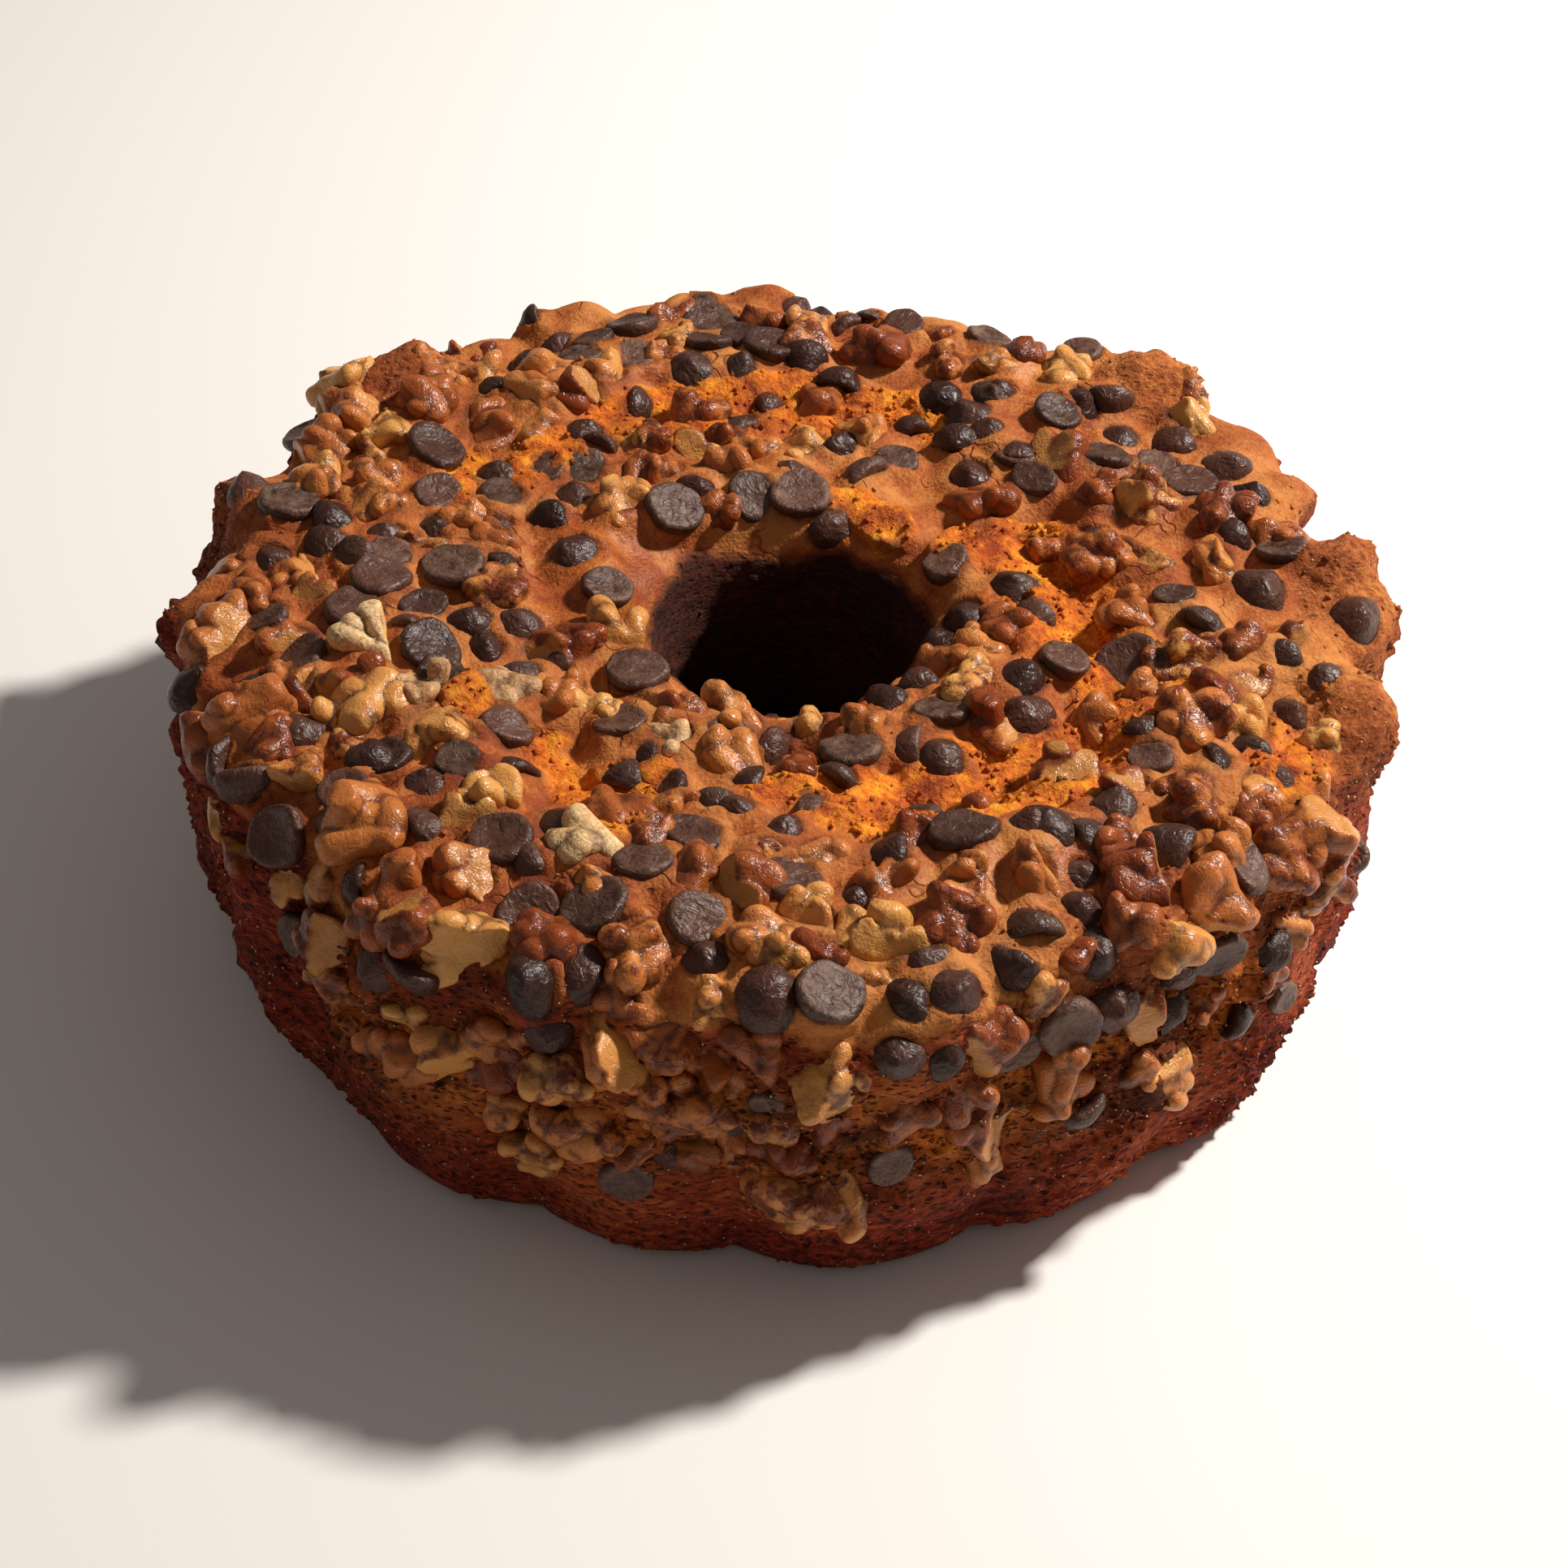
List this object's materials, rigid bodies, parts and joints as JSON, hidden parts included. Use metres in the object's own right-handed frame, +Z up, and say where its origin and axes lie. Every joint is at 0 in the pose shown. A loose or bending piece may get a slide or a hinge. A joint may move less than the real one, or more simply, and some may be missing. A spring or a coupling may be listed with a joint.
{
  "type": "fluted ring coffee cake",
  "caption": "Whole ring-shaped coffee cake with fluted sides and a centre hole, its cracked top covered in chocolate chips and walnut pieces.",
  "frame": {"origin": "middle of the base, on the surface the cake stands on", "axes": "+Z up through the centre hole, -Y towards the side the picture was taken from, +X to the picture's right"},
  "size_m": [0.258, 0.2591, 0.0864],
  "materials": {
    "crumb": "baked crumb, matt, browned skin with a faint sheen on top",
    "chocolate": "dark chocolate with a dusty bloom",
    "walnut": "toasted walnut with a glazed skin"
  },
  "bodies": {
    "root": {"cake": "crumb", "walnut_01": "walnut", "walnut_02": "walnut", "walnut_03": "walnut", "walnut_04": "walnut", "walnut_05": "walnut", "walnut_06": "walnut", "walnut_07": "walnut", "walnut_08": "walnut", "walnut_09": "walnut", "walnut_10": "walnut", "walnut_11": "walnut", "walnut_12": "walnut", "walnut_13": "walnut", "walnut_14": "walnut", "walnut_15": "walnut", "walnut_16": "walnut", "walnut_17": "walnut", "walnut_18": "walnut", "walnut_19": "walnut", "walnut_20": "walnut", "walnut_21": "walnut", "walnut_22": "walnut", "walnut_23": "walnut", "walnut_24": "walnut", "walnut_25": "walnut", "walnut_26": "walnut", "walnut_27": "walnut", "walnut_28": "walnut", "walnut_29": "walnut", "walnut_30": "walnut", "walnut_31": "walnut", "walnut_32": "walnut", "walnut_33": "walnut", "walnut_34": "walnut", "walnut_35": "walnut", "chip_01": "chocolate", "chip_02": "chocolate", "chip_03": "chocolate", "chip_04": "chocolate", "chip_05": "chocolate", "chip_06": "chocolate", "chip_07": "chocolate", "chip_08": "chocolate", "chip_09": "chocolate", "chip_10": "chocolate", "chip_11": "chocolate", "chip_12": "chocolate", "chip_13": "chocolate", "chip_14": "chocolate", "chip_15": "chocolate", "chip_16": "chocolate", "chip_17": "chocolate", "chip_18": "chocolate", "chip_19": "chocolate", "chip_20": "chocolate", "chip_21": "chocolate", "chip_22": "chocolate", "chip_23": "chocolate"}
  },
  "joints": []
}
